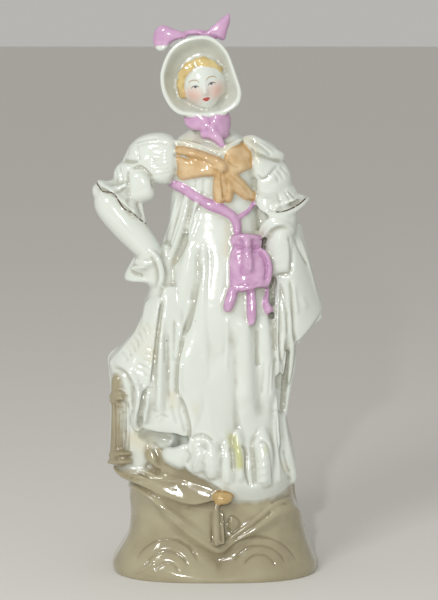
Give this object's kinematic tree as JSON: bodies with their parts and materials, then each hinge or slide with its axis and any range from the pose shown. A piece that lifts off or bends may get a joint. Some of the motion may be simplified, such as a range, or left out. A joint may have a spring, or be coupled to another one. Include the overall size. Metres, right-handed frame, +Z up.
{
  "type": "porcelain lady figurine",
  "caption": "Standing ornamental lady in a poke bonnet and high-waisted gown, cast in one piece with a rockwork base that carries it upright.",
  "frame": {"origin": "middle of the flat underside of the base", "axes": "+Z up through the figure, -Y the way the figure faces, +X towards the figure's left hand"},
  "size_m": [0.1009, 0.061, 0.2444],
  "materials": {
    "glazed_porcelain": "clear gloss glaze over white porcelain, painted mauve, ochre and sandy beige"
  },
  "bodies": {
    "root": {"lady_figurine": "glazed_porcelain"}
  },
  "joints": []
}
